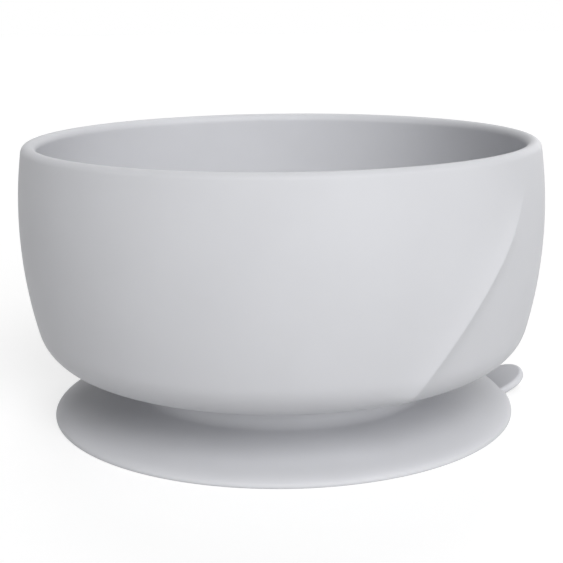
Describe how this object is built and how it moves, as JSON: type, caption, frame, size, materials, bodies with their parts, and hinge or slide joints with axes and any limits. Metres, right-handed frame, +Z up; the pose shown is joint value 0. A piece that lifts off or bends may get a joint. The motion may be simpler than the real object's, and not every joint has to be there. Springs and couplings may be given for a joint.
{
  "type": "suction bowl",
  "caption": "Round silicone baby bowl with a rounded rim and one raised crease, on a soft suction base that presses down and has a lift-up release tab.",
  "frame": {"origin": "on the table, at the centre of the suction base", "axes": "+Z up along the bowl's axis, -Y towards the front (the side seen in the picture), +X to the right; the release tab points 10.9 degrees behind +X"},
  "size_m": [0.125, 0.125, 0.0665],
  "materials": {
    "bowl_silicone": "satin silicone rubber, pale cool grey",
    "base_silicone": "satin silicone rubber, pale cool grey"
  },
  "bodies": {
    "base_body": {"suction_base": "base_silicone"},
    "bowl_body": {"bowl": "bowl_silicone"},
    "tab_body": {"release_tab": "base_silicone"}
  },
  "joints": [
    {"name": "press_down", "type": "slide", "parent": "base_body", "child": "bowl_body", "axis": [0, 0, 1], "range_m": [-0.0025, 0], "stiffness_N_per_m": 6000, "springref_m": 0.0006, "deforming": ["suction_base"]},
    {"name": "tab_lift", "type": "hinge", "parent": "base_body", "child": "tab_body", "pos_m": [0.0546, 0.01051, 0.00224], "axis": [0.1891, -0.982, 0], "range_deg": [0, 60], "stiffness_Nm_per_rad": 0.02}
  ]
}
